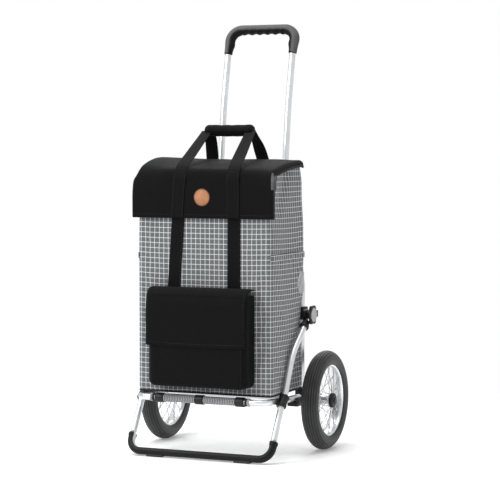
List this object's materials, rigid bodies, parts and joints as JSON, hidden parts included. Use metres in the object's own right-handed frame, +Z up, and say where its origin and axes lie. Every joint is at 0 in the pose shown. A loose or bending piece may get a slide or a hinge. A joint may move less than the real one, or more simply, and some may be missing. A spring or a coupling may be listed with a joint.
{
  "type": "shopping trolley",
  "caption": "Two-wheeled shopping trolley: folding aluminium tube frame, spoked pneumatic wheels, checked fabric bag with lidded top, front pocket and straps.",
  "frame": {"origin": "on the ground under the middle of the overall box", "axes": "+Z up, the bag's front faces -Y, the handle leans towards +Y, the wheel axle runs along X"},
  "size_m": [0.504, 0.4348, 1.081],
  "materials": {
    "anodised_tube": "satin anodised aluminium tube",
    "rim": "polished steel rim",
    "bright_steel": "zinc plated steel hub, spokes and axle",
    "tyre": "black-grey pneumatic tyre with circumferential ribs",
    "grip_rubber": "soft dark grey grip rubber",
    "black_plastic": "black moulded plastic, light grain",
    "bumper": "black semi-gloss clip-on bumper",
    "pad_rubber": "matt rubber foot pads",
    "grey_plastic": "ribbed grey plastic sleeve",
    "checked_fabric": "grey woven polyester with a fine white check",
    "board": "stiff base board inside the bag",
    "black_fabric": "black woven polyester",
    "webbing": "black ribbed polyester webbing",
    "reflective_film": "light grey reflective patch",
    "leather": "tan leather patch with a dark edge",
    "label_fabric": "plain grey woven label"
  },
  "bodies": {
    "rear_frame": {"main_tube_left": "anodised_tube", "main_tube_right": "anodised_tube", "handle_top_tube": "anodised_tube", "handle_grip": "grip_rubber", "handle_brace": "anodised_tube", "rear_brace": "anodised_tube", "bag_hanger": "black_plastic", "axle": "bright_steel", "axle_bracket_left": "black_plastic", "axle_bracket_right": "black_plastic", "knob_housing_left": "black_plastic", "knob_housing_right": "black_plastic", "bag_body": "checked_fabric", "base_board": "board", "front_pocket": "black_fabric", "bag_strap_left": "webbing", "bag_strap_right": "webbing", "reflector_left": "reflective_film", "reflector_right": "reflective_film"},
    "lid": {"lid_flap": "black_fabric", "carry_strap_front_left": "webbing", "carry_strap_front_right": "webbing", "carry_strap_rear_left": "webbing", "carry_strap_rear_right": "webbing", "carry_grip": "webbing", "badge": "leather", "side_label": "label_fabric"},
    "pocket_lid": {"pocket_flap": "black_fabric"},
    "front_frame": {"front_arm_left": "anodised_tube", "front_arm_right": "anodised_tube", "foot_bar": "anodised_tube", "foot_bumper": "bumper", "foot_pad_left": "pad_rubber", "foot_pad_right": "pad_rubber", "arm_eye_left": "black_plastic", "arm_eye_right": "black_plastic", "pivot_clamp_left": "black_plastic", "pivot_clamp_right": "black_plastic"},
    "shelf": {"shelf_front_tube": "anodised_tube", "shelf_side_tube_left": "anodised_tube", "shelf_side_tube_right": "anodised_tube", "shelf_cross_rod": "anodised_tube", "bar_sleeve_left": "grey_plastic", "bar_sleeve_right": "grey_plastic", "bag_clip_left": "black_plastic", "bag_clip_middle": "black_plastic", "bag_clip_right": "black_plastic"},
    "wheel_left": {"tyre_left": "tyre", "rim_left": "rim", "hub_left": "bright_steel", "hub_cap_left": "black_plastic"},
    "wheel_right": {"tyre_right": "tyre", "rim_right": "rim", "hub_right": "bright_steel", "hub_cap_right": "black_plastic"},
    "wheel_button_left": {"release_button_left": "black_plastic"},
    "wheel_button_right": {"release_button_right": "black_plastic"},
    "lock_knob_left": {"lock_knob_left": "black_plastic"},
    "lock_knob_right": {"lock_knob_right": "black_plastic"}
  },
  "joints": [
    {"name": "frame_fold", "type": "hinge", "parent": "rear_frame", "child": "front_frame", "pos_m": [0, 0.0425, 0.343], "axis": [1, 0, 0], "range_deg": [0, 20], "deforming": ["bag_body", "base_board", "front_pocket", "bag_strap_left", "bag_strap_right", "reflector_left", "reflector_right"]},
    {"name": "shelf_fold", "type": "hinge", "parent": "front_frame", "child": "shelf", "pos_m": [0, -0.117, 0.1425], "axis": [1, 0, 0], "range_deg": [0, 70]},
    {"name": "lid_lift", "type": "hinge", "parent": "rear_frame", "child": "lid", "pos_m": [0, 0.0365, 0.727], "axis": [-1, 0, 0], "range_deg": [0, 100]},
    {"name": "pocket_flap_lift", "type": "hinge", "parent": "rear_frame", "child": "pocket_lid", "pos_m": [0, -0.169, 0.42], "axis": [-1, 0, 0], "range_deg": [0, 85]},
    {"name": "wheel_spin_left", "type": "hinge", "parent": "rear_frame", "child": "wheel_left", "pos_m": [-0.2233, 0.0805, 0.125], "axis": [1, 0, 0], "continuous": true},
    {"name": "wheel_release_left", "type": "slide", "parent": "wheel_left", "child": "wheel_button_left", "axis": [1, 0, 0], "range_m": [0, 0.0015], "stiffness_N_per_m": 600},
    {"name": "lock_knob_turn_left", "type": "hinge", "parent": "rear_frame", "child": "lock_knob_left", "pos_m": [-0.205, 0.0425, 0.343], "axis": [1, 0, 0], "continuous": true},
    {"name": "wheel_spin_right", "type": "hinge", "parent": "rear_frame", "child": "wheel_right", "pos_m": [0.2233, 0.0805, 0.125], "axis": [1, 0, 0], "continuous": true},
    {"name": "wheel_release_right", "type": "slide", "parent": "wheel_right", "child": "wheel_button_right", "axis": [-1, 0, 0], "range_m": [0, 0.0015], "stiffness_N_per_m": 600},
    {"name": "lock_knob_turn_right", "type": "hinge", "parent": "rear_frame", "child": "lock_knob_right", "pos_m": [0.205, 0.0425, 0.343], "axis": [1, 0, 0], "continuous": true}
  ],
  "couplings": [
    {"joint": "shelf_fold", "follows": "frame_fold", "ratio": 3.5}
  ]
}
